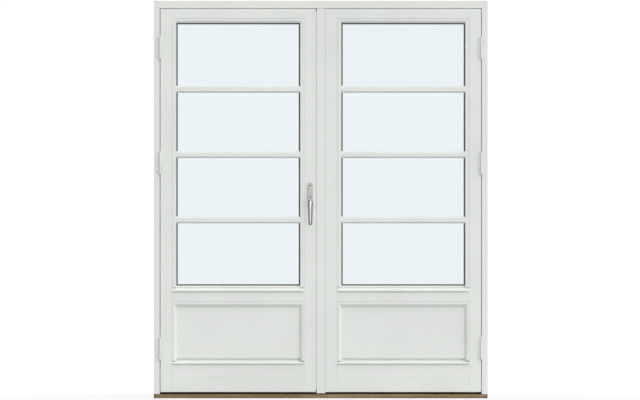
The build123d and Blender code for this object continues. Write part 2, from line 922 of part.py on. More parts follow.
def lever(face, way):
    """A tapered, bevelled lever that hangs down from its neck, with a square socket for the spindle."""
    seat = face + way * (plate_thick - neck_seat)
    neck_end = face + way * (plate_thick + neck_length)
    socket_end = face + way * (plate_thick + spindle_grip + spindle_fit)
    neck_start, neck_stop = sorted((seat, neck_end))
    neck = bore_y(handle_x, handle_height, neck_start, neck_stop, neck_r)
    socket = square_bar(*sorted((seat, socket_end)), spindle_side + 2 * spindle_fit)
    with BuildPart() as piece:
        with BuildSketch(Plane.XZ.offset(-neck_end)):
            with Locations((handle_x, handle_height)):
                Circle(lever_head_r)
            with Locations((handle_x, handle_height - lever_length)):
                Circle(lever_tip_r)
            make_hull()
        extrude(amount=-way * lever_thick)
        front = piece.faces().filter_by(Plane.XZ).sort_by(Axis.Y)[0 if way < 0 else -1]
        chamfer(front.edges(), length=lever_bevel, length2=lever_bevel_depth, reference=front)
        rear = piece.faces().filter_by(Plane.XZ).sort_by(Axis.Y)[-1 if way < 0 else 0]
        fillet(rear.edges(), radius=lever_ease)
        add(neck.part)
        add(socket.part, mode=Mode.SUBTRACT)
    return piece


for label, face, way in (("outside", y_front, -1), ("inside", y_back, 1)):
    keep(backplate(face, way).part, f"{label}_backplate")
    keep(lever(face, way).part, f"{label}_lever")

spindle_front = y_front - plate_thick - spindle_grip
spindle_back = y_back + plate_thick + spindle_grip
keep(square_bar(spindle_front, spindle_back, spindle_side).part, "spindle")

follower = bore_y(handle_x, handle_height, y_lock - case_thick / 2, y_lock + case_thick / 2, follower_r)
with follower:
    add(square_bar(spindle_front, spindle_back, spindle_side + 2 * spindle_fit).part, mode=Mode.SUBTRACT)
keep(follower.part, "lock_follower")

# False mullion on the right leaf, with its seal, the strike and two flush bolts in its edge
mullion_plan = [
    (mullion_left, y_front + arris),
    (mullion_left + arris, y_front),
    (meeting_edge - joint_gap - arris, y_front),
    (meeting_edge - joint_gap, y_front + arris),
    (meeting_edge - joint_gap, y_bead),
    (meeting_edge, y_bead),
    (meeting_edge, y_back),
    (mullion_left, y_back),
]
strike_low = deadbolt_z - strike_height / 2
strike_top = deadbolt_z + strike_height / 2
strike_hole = (bolt_low - pocket_spare, bolt_top + pocket_spare)
strike_depth = deadbolt_throw - rod_tip_inset - meeting_gap + pocket_spare
seal_front = y_front + mullion_seal_setback
seal_back = seal_front + mullion_seal_width


def strike_slot(depth):
    """The hole that the deadbolt enters, from the mullion's edge inwards."""
    return edge_block(mullion_left, RIGHT, depth, deadbolt_thick + 2 * pocket_spare, *strike_hole)


def flush_bolt(up):
    """A flush bolt: its plate, its recess, its rod with a thumb piece, and the rod's bore."""
    end = mullion_top if up > 0 else mullion_low
    tip = end - up * rod_tip_inset
    middle = end - up * (flush_plate_inset + flush_plate_height / 2)
    plate_ends = (middle - flush_plate_height / 2, middle + flush_plate_height / 2)
    thumb_start = middle - up * thumb_rise
    thumb_ends = sorted((thumb_start, thumb_start + up * thumb_height))
    slot_far = thumb_start + up * (thumb_height + flush_throw + piece_gap)
    slot_ends = sorted((thumb_start - up * piece_gap, slot_far))
    plate = edge_plate(mullion_left, RIGHT, *plate_ends, 0)
    recess = edge_plate(mullion_left, RIGHT, *plate_ends, glue_gap)
    slot = edge_block(mullion_left, RIGHT, groove_depth, 2 * rod_r + bolt_room, *slot_ends)
    with plate:
        add(slot.part, mode=Mode.SUBTRACT)
    bolt = rod(flush_x, y_lock, *sorted((thumb_start, tip)), rod_r)
    thumb_face = mullion_left + rod_tip_inset
    thumb = edge_block(thumb_face, RIGHT, flush_x - mullion_left, 2 * rod_r, *thumb_ends)
    with bolt:
        add(thumb.part)
    bore_ends = sorted((thumb_start - up * piece_gap, end + up * overrun))
    room = [recess, slot, rod(flush_x, y_lock, *bore_ends, rod_r + piece_gap)]
    return plate, bolt, room


top_plate, top_bolt, top_room = flush_bolt(1)
bottom_plate, bottom_bolt, bottom_room = flush_bolt(-1)
strike_recess = edge_plate(mullion_left, RIGHT, strike_low, strike_top, glue_gap)
strike_pocket = strike_slot(strike_depth + faceplate_thick)
mullion_seal = block(
    (mullion_left - mullion_seal_depth, seal_front, mullion_low),
    (mullion_left + seal_stem, seal_back, mullion_top),
)

mullion = upright(mullion_plan, mullion_low, mullion_top)
with mullion:
    for room in (strike_recess, strike_pocket, mullion_seal, *top_room, *bottom_room):
        add(room.part, mode=Mode.SUBTRACT)
keep(mullion.part, "mullion")
keep(mullion_seal.part, "mullion_seal")

strike_plate = edge_plate(mullion_left, RIGHT, strike_low, strike_top, 0)
with strike_plate:
    add(strike_slot(faceplate_thick).part, mode=Mode.SUBTRACT)
keep(strike_plate.part, "strike_plate")
keep(group([top_plate, bottom_plate]), "flush_bolt_plates")
keep(top_bolt.part, "top_flush_bolt")
keep(bottom_bolt.part, "bottom_flush_bolt")

# Both leaves
for side, name in SIDE_NAMES.items():
    keep(stile(side, False).part, f"{name}_hinge_stile")
    for (label, profile), span in zip(rails, tenon_spans):
        keep(rail(side, profile, span).part, f"{name}_{label}")
    glass_unit(side, name)
    uprights = (bead_width, bead_bevel, bead_bevel)
    top = (top_bead_width, top_bead_bevel, top_bead_fall)
    beads = bead_set(side, mid_top + bead_foot, top_shoulder, uprights, top, glass_sill_profile)
    keep(group(beads), f"{name}_glazing_beads")
    uprights = (panel_bead_width, panel_bead_bevel, panel_bead_fall)
    top = (panel_top_width, panel_top_bevel, panel_bead_fall)
    foot = bottom_shoulder + panel_bead_foot
    beads = bead_set(side, foot, mid_rail_low, uprights, top, panel_sill_profile)
    keep(group(beads), f"{name}_panel_beads")
    keep(panel(side).part, f"{name}_panel")
    keep(group(bars(side, True)), f"{name}_front_bars")
    keep(group(bars(side, False)), f"{name}_back_bars")
    keep(group(bar_tapes(side)), f"{name}_bar_tapes")
    keep(group([hinge_half(side, z, True) for z in hinge_heights]), f"{name}_hinge_halves")
keep(stile(RIGHT, True).part, "right_meeting_stile")
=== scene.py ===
"""A pair of french doors in their frame: finishes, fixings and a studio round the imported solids.

Lengths are metres, in the frame of the solids: width along X, depth along Y, height along Z, and the
weather side towards -Y.
"""

import json
import math

import bmesh
import bpy
from bpy.props import FloatProperty, FloatVectorProperty, IntProperty, PointerProperty
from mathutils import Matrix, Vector
from mathutils.bvhtree import BVHTree

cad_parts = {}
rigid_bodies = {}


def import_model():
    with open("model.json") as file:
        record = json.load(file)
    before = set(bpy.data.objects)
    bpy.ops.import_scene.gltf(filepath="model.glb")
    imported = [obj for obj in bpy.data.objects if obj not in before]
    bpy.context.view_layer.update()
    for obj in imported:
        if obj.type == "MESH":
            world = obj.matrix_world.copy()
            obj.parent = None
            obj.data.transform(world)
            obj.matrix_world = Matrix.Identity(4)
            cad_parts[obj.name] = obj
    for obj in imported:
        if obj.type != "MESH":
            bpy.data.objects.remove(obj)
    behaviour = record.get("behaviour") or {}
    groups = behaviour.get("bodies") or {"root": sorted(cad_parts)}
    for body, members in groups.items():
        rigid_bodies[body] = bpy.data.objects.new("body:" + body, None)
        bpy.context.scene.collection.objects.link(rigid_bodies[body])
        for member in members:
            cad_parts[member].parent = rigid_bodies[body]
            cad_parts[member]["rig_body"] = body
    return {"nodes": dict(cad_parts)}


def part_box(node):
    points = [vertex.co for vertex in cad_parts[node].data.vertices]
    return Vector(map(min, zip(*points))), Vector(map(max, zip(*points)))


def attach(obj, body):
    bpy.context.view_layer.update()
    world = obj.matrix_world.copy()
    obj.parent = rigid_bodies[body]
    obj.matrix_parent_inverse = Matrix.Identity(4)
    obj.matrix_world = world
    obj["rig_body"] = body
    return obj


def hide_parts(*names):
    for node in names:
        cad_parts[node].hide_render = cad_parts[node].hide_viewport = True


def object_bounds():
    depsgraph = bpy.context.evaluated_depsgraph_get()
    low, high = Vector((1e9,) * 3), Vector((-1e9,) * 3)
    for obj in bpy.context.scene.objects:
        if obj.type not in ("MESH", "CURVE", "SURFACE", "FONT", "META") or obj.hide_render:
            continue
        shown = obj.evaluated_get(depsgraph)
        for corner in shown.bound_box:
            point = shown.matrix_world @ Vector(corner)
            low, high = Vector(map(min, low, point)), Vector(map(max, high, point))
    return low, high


bl_info = {
    "name": "French doors",
    "version": (1, 0, 0),
    "blender": (4, 5, 0),
    "location": "View3D > Sidebar > French doors",
    "description": "Finishes and fixings for a pair of french doors, and the studio they stand in",
    "category": "Object",
}

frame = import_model()
nodes = frame["nodes"]
cad_box = [list(corner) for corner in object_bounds()]

LEAVES = ("left", "right")
FRONT, BACK = Vector((0, -1, 0)), Vector((0, 1, 0))
LEFT, RIGHT = Vector((-1, 0, 0)), Vector((1, 0, 0))
DOWN, UP = Vector((0, 0, -1)), Vector((0, 0, 1))
WHITE = (1.0, 1.0, 1.0)
SMOOTH_ANGLE = math.radians(28)

# Points this near are one point, and a planted strip stays this far off its neighbours
MERGE_DISTANCE = 0.000002
JOINT = 0.0001

# How far the foremost point, on the outside lever, stands in front of the doors' face
LEVER_REACH = 0.05

# How much a face turns to the front or the back, and the values between which a bevel becomes a flat; on
# metal it sets where the painted shade of bevels and sides gives way to the colour of the front
FLATNESS = "flatness"
BEVEL_FLATNESS, FACE_FLATNESS = 0.86, 0.96

# How much a pattern is drawn out along each axis, as repeats per metre
EVEN = (1.0, 1.0, 1.0)
GRAIN_ALONG_X = (5.0, 260.0, 260.0)
GRAIN_ALONG_Z = (260.0, 260.0, 5.0)
SHORT_GRAIN = (60.0, 60.0, 60.0)
OAK_FIGURE = (1.4, 34.0, 34.0)
OAK_PORES = (14.0, 700.0, 700.0)
BRUSHED_ALONG_Z = (900.0, 900.0, 30.0)
ROLLED_ALONG_Z = (500.0, 500.0, 20.0)
TURNED = (300.0, 300.0, 300.0)

# How far brush marks take a metal's roughness down and up
BRUSH_SMOOTHER, BRUSH_ROUGHER = 0.06, 0.08

# Sockets of a mix node that blends colours
COLOUR_A, COLOUR_B, COLOUR_OUT = 6, 7, 2

# How far the slot of each screw is turned from the one before
SLOT_TURN = math.radians(67)

# Where screws sit, as shares of a plate's height
HANDLE_SHARES = (0.369, 0.865)
FACEPLATE_SHARES = (0.008, 0.17, 0.34, 0.62, 0.80, 0.992)
STRIKE_SHARES = (0.12, 0.88)
FLUSH_PLATE_SHARES = (0.09, 0.91)


def linear(red, green, blue):
    """A colour as the eye reads it, from 0 to 255, as the linear values that shaders take."""

    def channel(value):
        share = value / 255
        return share / 12.92 if share <= 0.04045 else ((share + 0.055) / 1.055) ** 2.4

    return channel(red), channel(green), channel(blue)


class PaintSettings(bpy.types.PropertyGroup):
    """The white paint on the joinery and the hinges."""

    colour: FloatVectorProperty(
        name="Colour",
        description="Colour of the paint",
        subtype="COLOR",
        min=0,
        max=1,
        default=linear(223, 226, 222),
    )
    variation: FloatProperty(
        name="Variation",
        description="How much the paint's tone wanders over a piece",
        subtype="FACTOR",
        min=0,
        max=0.2,
        default=0.03,
    )
    roughness: FloatProperty(
        name="Roughness", description="Roughness of the dry paint", subtype="FACTOR", default=0.5
    )
    wander: FloatProperty(
        name="Wander", description="How far the roughness strays", subtype="FACTOR", default=0.07
    )
    grain_depth: FloatProperty(
        name="Grain depth",
        description="Depth of the wood grain that shows through the paint",
        unit="LENGTH",
        default=0.00012,
    )


class OakSettings(bpy.types.PropertyGroup):
    """The oiled oak of the sill."""

    light: FloatVectorProperty(
        name="Light wood",
        description="Colour of the early wood",
        subtype="COLOR",
        min=0,
        max=1,
        default=linear(141, 121, 90),
    )
    dark: FloatVectorProperty(
        name="Dark wood",
        description="Colour of the late wood",
        subtype="COLOR",
        min=0,
        max=1,
        default=linear(106, 87, 60),
    )
    pore: FloatVectorProperty(
        name="Pore",
        description="What an open pore leaves of the wood's colour",
        subtype="COLOR",
        min=0,
        max=1,
        default=(0.45, 0.40, 0.34),
    )
    pore_share: FloatProperty(
        name="Pore share", description="How strongly the pores show", subtype="FACTOR", default=0.8
    )
    end_reach: FloatProperty(
        name="End reach", description="Length of the darker ends", unit="LENGTH", default=0.014
    )
    end_shade: FloatProperty(
        name="End shade", description="How much darker the ends are", subtype="FACTOR", default=0.55
    )
    pore_depth: FloatProperty(
        name="Pore depth", description="Depth of the open pores", unit="LENGTH", default=0.0003
    )


class GlassSettings(bpy.types.PropertyGroup):
    """The sealed units and what beds them."""

    tint: FloatVectorProperty(
        name="Tint",
        description="Tint of one glass surface",
        subtype="COLOR",
        min=0,
        max=1,
        default=(0.910, 0.946, 0.958),
    )
    gasket: FloatVectorProperty(
        name="Gasket",
        description="Colour of the glazing gaskets",
        subtype="COLOR",
        min=0,
        max=1,
        default=linear(86, 92, 92),
    )
    seal: FloatVectorProperty(
        name="Weather seal",
        description="Colour of the weather seals",
        subtype="COLOR",
        min=0,
        max=1,
        default=linear(58, 58, 57),
    )
    spacer: FloatVectorProperty(
        name="Spacer",
        description="Colour of the metal spacer between two panes",
        subtype="COLOR",
        min=0,
        max=1,
        default=linear(150, 152, 154),
    )
    block: FloatVectorProperty(
        name="Setting block",
        description="Colour of the plastic blocks under the glass",
        subtype="COLOR",
        min=0,
        max=1,
        default=linear(70, 86, 110),
    )
    tape: FloatVectorProperty(
        name="Bar tape",
        description="Colour of the tape that holds a bar to the glass",
        subtype="COLOR",
        min=0,
        max=1,
        default=linear(205, 206, 204),
    )


class MetalSettings(bpy.types.PropertyGroup):
    """The handle, the lock and the plates."""

    handle_plate: FloatVectorProperty(
        name="Handle plate",
        description="Colour of the satin plates behind the levers",
        subtype="COLOR",
        min=0,
        max=1,
        default=linear(180, 181, 179),
    )
    # Painted highlight: a lighter colour for a lever's front flat, standing in for the light it reflects
    lever_painted_highlight: FloatVectorProperty(
        name="Lever face",
        description="Colour of the polished flat along a lever",
        subtype="COLOR",
        min=0,
        max=1,
        default=linear(220, 221, 220),
    )
    # Painted shade: a darker colour for a lever's bevels and sides, standing in for the shade and dim
    # reflection on them
    lever_painted_shade: FloatVectorProperty(
        name="Lever flank",
        description="Colour of the dulled bevels and sides of a lever",
        subtype="COLOR",
        min=0,
        max=1,
        default=linear(128, 129, 128),
    )
    steel: FloatVectorProperty(
        name="Steel",
        description="Colour of the plated steel",
        subtype="COLOR",
        min=0,
        max=1,
        default=linear(176, 178, 181),
    )
    brushing: FloatProperty(
        name="Brushing", description="Depth of the brush marks", unit="LENGTH", default=0.00003
    )


class FilletSettings(bpy.types.PropertyGroup):
    """The slim fillet planted on the projecting bead under each pane."""

    stand: FloatProperty(
        name="Stand", description="How far it stands out from the gasket", unit="LENGTH", default=0.0105
    )
    drop: FloatProperty(
        name="Drop", description="Fall of its top from the gasket to its front", unit="LENGTH", default=0.0071
    )
    face: FloatProperty(name="Face", description="Height of its front", unit="LENGTH", default=0.0060)
    undercut: FloatProperty(
        name="Undercut", description="How far its front leans back to its foot", unit="LENGTH", default=0.0022
    )
    ease: FloatProperty(
        name="Ease", description="Rounding of its front edge", unit="LENGTH", default=0.0004
    )


class ScrewSettings(bpy.types.PropertyGroup):
    """The countersunk screws."""

    hinge_radius: FloatProperty(
        name="Hinge screw", description="Head radius on the hinges", unit="LENGTH", default=0.0036
    )
    plate_radius: FloatProperty(
        name="Plate screw", description="Head radius on the plates", unit="LENGTH", default=0.0029
    )
    handle_radius: FloatProperty(
        name="Handle screw", description="Head radius on the handle plates", unit="LENGTH", default=0.0042
    )
    hinge_inset: FloatProperty(
        name="Hinge inset", description="From a wing's edge to its screws", unit="LENGTH", default=0.0066
    )
    hinge_rise: FloatProperty(
        name="Hinge rise", description="From a wing's middle to a screw", unit="LENGTH", default=0.032
    )
    keeper_share: FloatProperty(
        name="Keeper inset",
        description="From a keeper's end to its screw, over the keeper's depth",
        subtype="FACTOR",
        default=0.4,
    )
    sides: IntProperty(name="Sides", description="Sides of a screw head", min=8, max=64, default=28)
    height_share: FloatProperty(
        name="Height", description="Height of a head over its radius", subtype="FACTOR", default=0.14
    )
    top_share: FloatProperty(
        name="Top", description="Radius of a head's top over that of its foot", subtype="FACTOR", default=0.86
    )
    slot_share: FloatProperty(
        name="Slot", description="Width of the cross slot over the radius", subtype="FACTOR", default=0.24
    )
    slot_reach: FloatProperty(
        name="Slot reach", description="Length of the cross slot over the radius", default=1.2
    )


class StudioSettings(bpy.types.PropertyGroup):
    """The camera, the light and the floor."""

    distance: FloatProperty(
        name="Distance", description="From the camera to the doors' face", unit="LENGTH", default=60.0
    )
    field: FloatProperty(
        name="Field", description="Width of the picture at the doors' face", unit="LENGTH", default=3.414
    )
    aim: FloatVectorProperty(
        name="Aim",
        description="Where the middle of the picture meets the doors' face",
        subtype="TRANSLATION",
        unit="LENGTH",
        default=(-0.0038, cad_box[0][1] + LEVER_REACH, 1.0578),
    )
    key_direction: FloatVectorProperty(
        name="Key direction",
        description="From the doors to the key light",
        subtype="DIRECTION",
        default=(0.28, -0.37, 0.42),
    )
    key_strength: FloatProperty(name="Key strength", description="Strength of the key light", default=2.31)
    softness: FloatProperty(
        name="Softness",
        description="Angle that a light fills in the sky",
        subtype="ANGLE",
        default=math.radians(80),
    )
    back_direction: FloatVectorProperty(
        name="Back direction",
        description="From the doors to the light behind them",
        subtype="DIRECTION",
        default=(0.30, 0.40, 0.36),
    )
    back_strength: FloatProperty(
        name="Back strength", description="Strength of the light behind the doors", default=1.5
    )
    ambient: FloatProperty(
        name="Ambient", description="Strength of the even light from all round", default=0.43
    )
    floor_radius: FloatProperty(
        name="Floor radius", description="Radius of the floor", unit="LENGTH", default=9.0
    )
    floor_sides: IntProperty(
        name="Floor sides", description="Sides of the round floor", min=8, max=256, default=96
    )
    floor_drop: FloatProperty(
        name="Floor drop", description="How far the floor lies under the sill", unit="LENGTH", default=0.0005
    )
    floor_grey: FloatProperty(
        name="Floor grey",
        description="Share of the light that the floor sends back",
        subtype="FACTOR",
        min=0,
        max=1,
        default=0.56,
    )
    floor_white: FloatProperty(
        name="Floor white",
        description="How far the floor by the doors is already the background's white",
        subtype="FACTOR",
        min=0,
        max=1,
        default=0.85,
    )
    floor_near: FloatProperty(
        name="Floor near",
        description="Distance at which the floor starts to fade to the background",
        unit="LENGTH",
        default=0.9,
    )
    floor_clear: FloatProperty(
        name="Floor fade",
        description="Distance at which the floor has faded to the background",
        unit="LENGTH",
        default=2.6,
    )


SETTINGS = {
    "doors_paint": PaintSettings,
    "doors_oak": OakSettings,
    "doors_glass": GlassSettings,
    "doors_metal": MetalSettings,
    "doors_fillets": FilletSettings,
    "doors_screws": ScrewSettings,
    "doors_studio": StudioSettings,
}


# Shader nodes
def new_material(name, **sockets):
    """A material with one principled shader, and the shader. Socket names have _ for a space."""
    material = bpy.data.materials.new(name)
    material.use_nodes = True
    shader = next(n for n in material.node_tree.nodes if n.type == "BSDF_PRINCIPLED")
    for socket, value in sockets.items():
        shader.inputs[socket.replace("_", " ")].default_value = value
    return material, shader


def put(tree, kind, inputs=None, **settings):
    """A new node with these settings and input values."""
    made = tree.nodes.new(kind)
    for key, value in settings.items():
        setattr(made, key, value)
    for key, value in (inputs or {}).items():
        if isinstance(value, bpy.types.NodeSocket):
            tree.links.new(value, made.inputs[key])
        else:
            made.inputs[key].default_value = value
    return made


def place_on_piece(tree, stretch):
    """Coordinates on the piece, drawn out along its axes."""
    place = put(tree, "ShaderNodeTexCoord")
    return put(tree, "ShaderNodeMapping", {"Vector": place.outputs["Object"], "Scale": stretch}).outputs[0]


def noise(tree, stretch, scale=1.0, detail=4.0, distortion=0.0):
    """A cloudy pattern from 0 to 1."""
    values = {
        "Vector": place_on_piece(tree, stretch),
        "Scale": scale,
        "Detail": detail,
        "Distortion": distortion,
    }
    return put(tree, "ShaderNodeTexNoise", values).outputs[0]


def ramp(tree, factor, *stops):
    """Colours along a pattern, as (place, colour) stops."""
    made = put(tree, "ShaderNodeValToRGB", {"Fac": factor})
    points = made.color_ramp.elements
    while len(points) < len(stops):
        points.new(1.0)
    for point, (where, colour) in zip(points, stops):
        point.position = where
        point.color = (*colour, 1)
    return made.outputs["Color"]


def spread(tree, value, low, high, start=0.3, end=0.7):
    """A pattern's middle range spread over another range."""
    values = {"Value": value, "From Min": start, "From Max": end, "To Min": low, "To Max": high}
    return put(tree, "ShaderNodeMapRange", values).outputs[0]


def relief(tree, shader, height, depth, strength=0.5):
    """Raise and sink the surface by a pattern."""
    bump = put(tree, "ShaderNodeBump", {"Height": height, "Distance": depth, "Strength": strength})
    tree.links.new(bump.outputs[0], shader.inputs["Normal"])


def shaded(colour, share):
    """A colour made darker or lighter by a share."""
    return tuple(min(1.0, max(0.0, value * (1 + share))) for value in colour)


def tinted(tree, pattern, colour, darker, lighter, start=0.3, end=0.7):
    """A colour that wanders with a pattern, from a share darker to a share lighter."""
    return ramp(tree, pattern, (start, shaded(colour, -darker)), (end, shaded(colour, lighter)))


def blend(tree, factor, first, second, kind="MIX"):
    """The first colour blended into the second by a factor."""
    values = {"Factor": factor, COLOUR_A: first, COLOUR_B: second}
    return put(tree, "ShaderNodeMix", values, data_type="RGBA", blend_type=kind).outputs[COLOUR_OUT]


def feed(tree, shader, tone, roughness):
    """Give a shader its colour and its roughness."""
    tree.links.new(tone, shader.inputs["Base Color"])
    tree.links.new(roughness, shader.inputs["Roughness"])


# Finishes
def white_paint(name, stretch):
    """Paint over wood whose grain runs along the given stretch."""
    paint = bpy.context.scene.doors_paint
    material, shader = new_material(name)
    tree = material.node_tree
    cloud = noise(tree, EVEN, scale=3.5, detail=3)
    grain = noise(tree, stretch, detail=6, distortion=0.4)
    tone = tinted(tree, cloud, paint.colour, darker=paint.variation, lighter=paint.variation)
    low, high = paint.roughness - paint.wander, paint.roughness + paint.wander
    feed(tree, shader, tone, spread(tree, grain, low, high))
    relief(tree, shader, grain, paint.grain_depth)
    return material


def powder_coat(name):
    """White coated steel, with the fine peel of a sprayed coat."""
    paint = bpy.context.scene.doors_paint
    material, shader = new_material(name)
    tree = material.node_tree
    peel = noise(tree, EVEN, scale=900.0, detail=2)
    cloud = noise(tree, EVEN, scale=30.0, detail=3)
    tone = tinted(tree, cloud, paint.colour, darker=0.05, lighter=0.01)
    feed(tree, shader, tone, spread(tree, peel, low=0.28, high=0.42))
    relief(tree, shader, peel, depth=0.00005)
    return material


def oiled_oak():
    """Oak with its grain along the sill."""
    oak = bpy.context.scene.doors_oak
    material, shader = new_material("oiled_oak")
    tree = material.node_tree
    figure = noise(tree, OAK_FIGURE, detail=8, distortion=1.1)
    pores = noise(tree, OAK_PORES, detail=3)
    wood = ramp(
        tree,
        figure,
        (0.28, oak.dark),
        (0.45, shaded(oak.dark, 0.25)),
        (0.56, oak.light),
        (0.75, shaded(oak.light, -0.12)),
    )
    pits = ramp(tree, pores, (0.36, oak.pore), (0.48, WHITE))
    tone = blend(tree, oak.pore_share, wood, pits, kind="MULTIPLY")
    parts = put(tree, "ShaderNodeSeparateXYZ", {0: place_on_piece(tree, EVEN)}).outputs
    along = put(tree, "ShaderNodeMath", {0: parts["X"]}, operation="ABSOLUTE").outputs[0]
    tip = cad_box[1][0]
    by_end = spread(tree, along, low=0.0, high=1.0, start=tip - oak.end_reach, end=tip)
    tone = blend(tree, by_end, tone, (*shaded(oak.dark, -oak.end_shade), 1))
    feed(tree, shader, tone, spread(tree, figure, low=0.42, high=0.6))
    relief(tree, shader, pores, oak.pore_depth, strength=0.6)
    return material


def clear_glass():
    """Float glass with a faint tint and a trace of dust."""
    glass = bpy.context.scene.doors_glass
    material, shader = new_material("clear_glass", Transmission_Weight=1.0, IOR=1.45)
    tree = material.node_tree
    film = noise(tree, EVEN, scale=2.2, detail=4)
    tone = tinted(tree, film, glass.tint, darker=0.004, lighter=0.0, start=0.35, end=0.65)
    feed(tree, shader, tone, spread(tree, film, low=0.0, high=0.012))
    return material


def rubber(name, colour):
    """Extruded rubber with drawn lines and a little dust."""
    material, shader = new_material(name)
    tree = material.node_tree
    dust = noise(tree, EVEN, scale=60.0, detail=5)
    drawn = noise(tree, EVEN, scale=1500.0, detail=2)
    tone = tinted(tree, dust, colour, darker=0.12, lighter=0.18, start=0.35)
    feed(tree, shader, tone, spread(tree, dust, low=0.62, high=0.8))
    relief(tree, shader, drawn, depth=0.00004)
    return material


def metal(name, colour, stretch, roughness, flank=None):
    """Bare metal with brush marks along the given stretch, and, if a flank colour is given, a painted shade
    on the bevels and sides that turn away from the front.
    """
    material, shader = new_material(name, Metallic=1.0)
    tree = material.node_tree
    marks = noise(tree, stretch, detail=4)
    cloud = noise(tree, EVEN, scale=45.0, detail=4)
    tone = tinted(tree, cloud, colour, darker=0.08, lighter=0.05)
    # Painted shade: faces turned away from the front take the darker flank colour, for the shade and dim
    # reflection on them
    if flank:
        painted_flank_shade = tinted(tree, cloud, flank, darker=0.08, lighter=0.08)
        flatness = put(tree, "ShaderNodeAttribute", attribute_name=FLATNESS).outputs["Fac"]
        flat = spread(tree, flatness, low=0.0, high=1.0, start=BEVEL_FLATNESS, end=FACE_FLATNESS)
        tone = blend(tree, flat, painted_flank_shade, tone)
    low, high = roughness - BRUSH_SMOOTHER, roughness + BRUSH_ROUGHER
    feed(tree, shader, tone, spread(tree, marks, low, high))
    relief(tree, shader, marks, bpy.context.scene.doors_metal.brushing)
    return material


def seen_directly(tree):
    """1 for what the camera sees, straight, in metal or through glass, and 0 for light on the way."""
    path = put(tree, "ShaderNodeLightPath").outputs
    seen = path["Is Camera Ray"]
    for ray in ("Is Glossy Ray", "Is Transmission Ray"):
        seen = put(tree, "ShaderNodeMath", {0: seen, 1: path[ray]}, operation="MAXIMUM").outputs[0]
    return seen


# Pieces
def finish(material, slot, *names):
    """Give CAD nodes their finish."""
    for name in names:
        nodes[name].data.materials.clear()
        nodes[name].data.materials.append(material)


def merged(name):
    """A CAD node's surface with its loose triangles joined."""
    shape = bmesh.new()
    shape.from_mesh(nodes[name].data)
    bmesh.ops.remove_doubles(shape, verts=shape.verts, dist=MERGE_DISTANCE)
    return shape


def settle(piece, material, body):
    """Put a finished piece on its body."""
    piece.data.materials.clear()
    piece.data.materials.append(material)
    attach(piece, body)


def smooth_piece(name, shape):
    """A smoothly shaded object of a finished shape, which is freed."""
    mesh = bpy.data.meshes.new(name)
    shape.to_mesh(mesh)
    shape.free()
    mesh.shade_smooth()
    mesh.set_sharp_from_angle(angle=SMOOTH_ANGLE)
    piece = bpy.data.objects.new(name, mesh)
    bpy.context.scene.collection.objects.link(piece)
    return piece


def smooth(material, slot, *names):
    """Stand a smoothly shaded copy in the place of each CAD node."""
    for name in names:
        piece = smooth_piece(f"{name}_smooth", merged(name))
        # How far each face turns to the front sets where metal takes the painted highlight of its front or
        # the painted shade of its sides
        flatness = piece.data.attributes.new(FLATNESS, "FLOAT", "FACE")
        flatness.data.foreach_set("value", [abs(face.normal.y) for face in piece.data.polygons])
        settle(piece, material, nodes[name]["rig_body"])
        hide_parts(name)


def solid_boxes(name):
    """The lowest and highest corner of each separate solid in a CAD node, from the bottom left up."""
    shape = merged(name)
    waiting, boxes = set(shape.verts), []
    while waiting:
        reached, corners = [waiting.pop()], []
        while reached:
            vert = reached.pop()
            corners.append(vert.co.copy())
            near = {edge.other_vert(vert) for edge in vert.link_edges} & waiting
            waiting -= near
            reached.extend(near)
        boxes.append((Vector(map(min, *corners)), Vector(map(max, *corners))))
    shape.free()
    return sorted(boxes, key=lambda box: (box[0].z, box[0].x))


def both_leaves(*names):
    """The names of a piece in the left leaf and in the right one."""
    return [f"{leaf}_{name}" for leaf in LEAVES for name in names]


def add_fillet(leaf, fillets, material):
    """A slim strip along the top of the bead under a pane, from one upright bead to the other."""
    low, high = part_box(f"{leaf}_glazing_beads")
    shape = merged(f"{leaf}_glazing_beads")
    beads = BVHTree.FromBMesh(shape)
    shape.free()
    pane = (low + high) / 2
    pane.y = high.y - JOINT
    left, right, below = (beads.ray_cast(pane, way)[0] for way in (LEFT, RIGHT, DOWN))
    front, crest = pane.y - fillets.stand, below.z - fillets.drop
    foot = crest - fillets.face
    outline = ((pane.y, below.z), (front, crest), (front + fillets.undercut, foot), (pane.y, foot))

    shape = bmesh.new()
    end = shape.faces.new([shape.verts.new((left.x + JOINT, *corner)) for corner in outline])
    arris = end.verts[1]
    grown = bmesh.ops.extrude_face_region(shape, geom=[end])["geom"]
    far_end = [part for part in grown if isinstance(part, bmesh.types.BMVert)]
    bmesh.ops.translate(shape, verts=far_end, vec=RIGHT * (right.x - left.x - 2 * JOINT))
    bmesh.ops.recalc_face_normals(shape, faces=shape.faces)
    length = max(arris.link_edges, key=lambda edge: edge.calc_length())
    bmesh.ops.bevel(shape, geom=[length], offset=fillets.ease, segments=3, profile=0.5, affect="EDGES")
    settle(smooth_piece(f"{leaf}_fillet", shape), material, f"{leaf}_leaf")


# Screws
def named_input(tree, name, kind, default=None):
    """A named input of a node group."""
    socket = tree.interface.new_socket(name=name, in_out="INPUT", socket_type=f"NodeSocket{kind}")
    if default is not None:
        socket.default_value = default
    return socket.identifier


